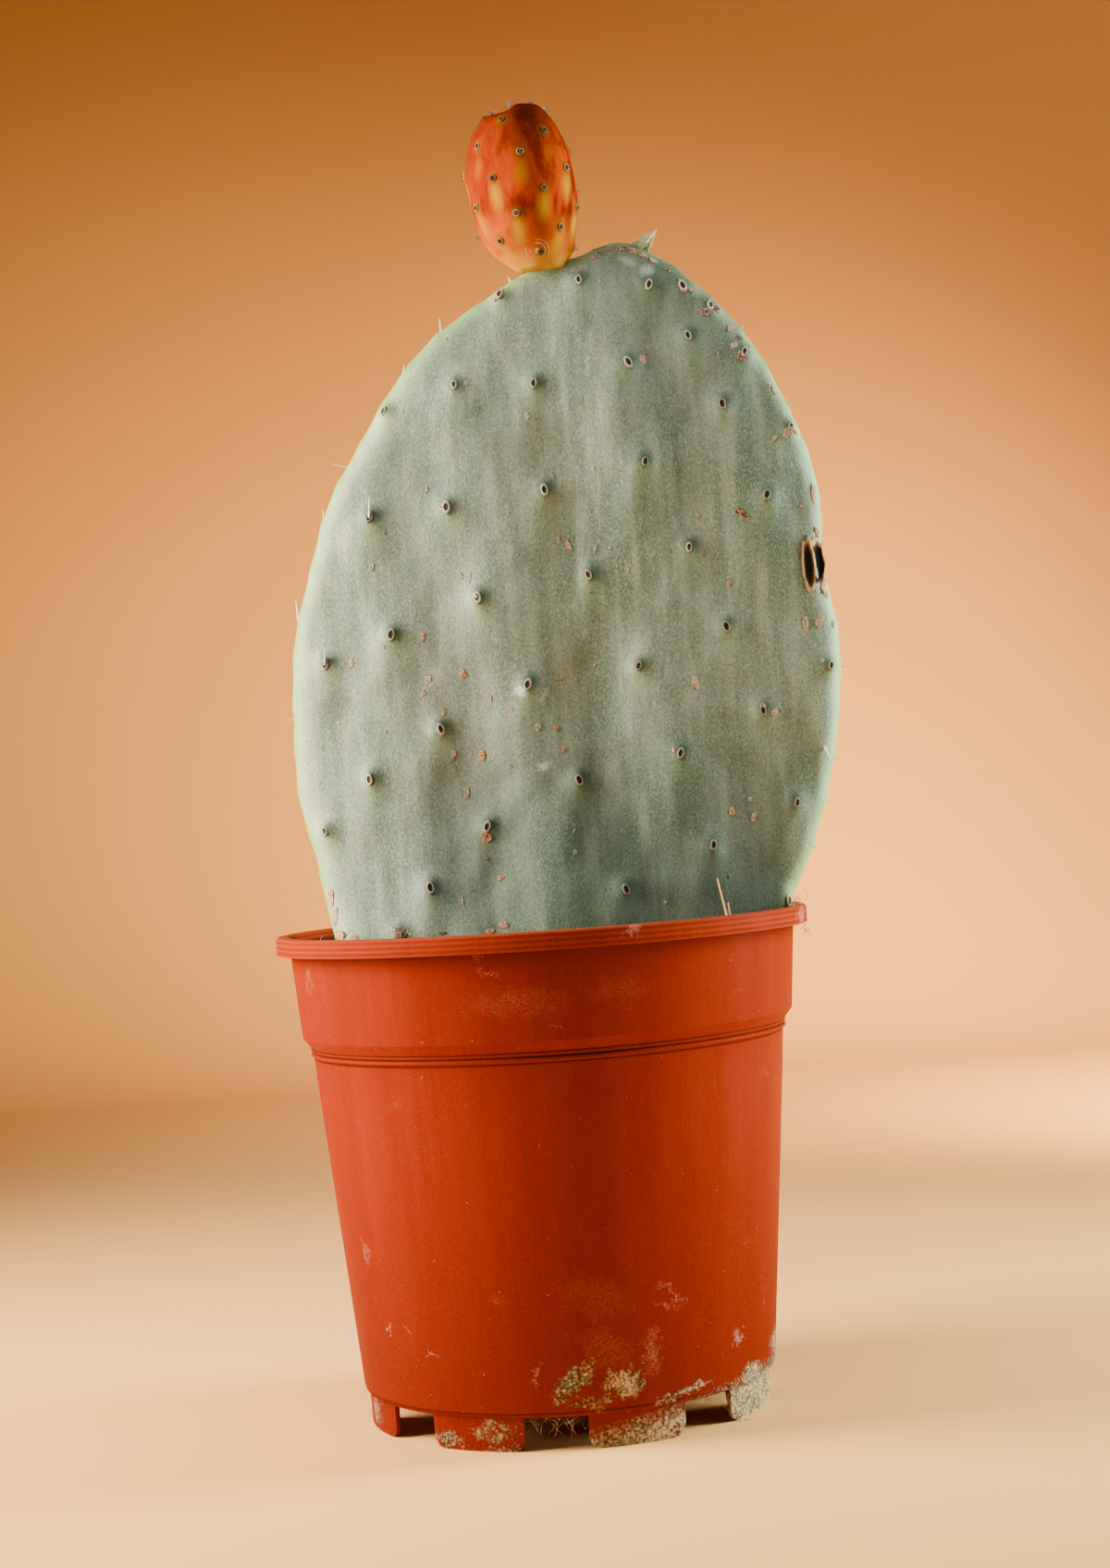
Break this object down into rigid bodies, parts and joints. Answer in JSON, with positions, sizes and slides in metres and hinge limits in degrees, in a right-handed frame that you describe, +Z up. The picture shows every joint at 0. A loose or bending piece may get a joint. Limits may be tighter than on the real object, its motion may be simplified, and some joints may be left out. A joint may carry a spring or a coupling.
{
  "type": "potted paddle cactus",
  "caption": "Upright prickly pear pad with a ripe barrel fruit on its top edge, rooted in soil in a tapered plastic grower's pot with a stepped band and slotted foot ring.",
  "frame": {"origin": "on the standing plane under the pot's feet, at the middle of the whole part's bounding box; the pot's own axis is at x = -10.7 mm, y = 0", "axes": "+Z up from the feet to the fruit's crown, +Y away from the viewer through the pad's thickness, +X to the viewer's right along the pad's width"},
  "size_m": [0.2214, 0.2, 0.4927],
  "materials": {
    "pot_plastic": "satin moulded polypropylene, terracotta orange, with lime and algae specks",
    "soil": "dry peat and bark mix with pumice grit",
    "pad_skin": "waxy grey-green cactus skin with corky areoles and scars",
    "fruit_skin": "smooth waxy ripe fruit skin, orange to red with yellow streaks",
    "bud": "dry papery flower bud",
    "straw": "dry grass stalk"
  },
  "bodies": {
    "root": {"pot": "pot_plastic", "soil": "soil", "paddle": "pad_skin", "fruit": "fruit_skin", "dry_bud": "bud", "straw": "straw"}
  },
  "joints": []
}
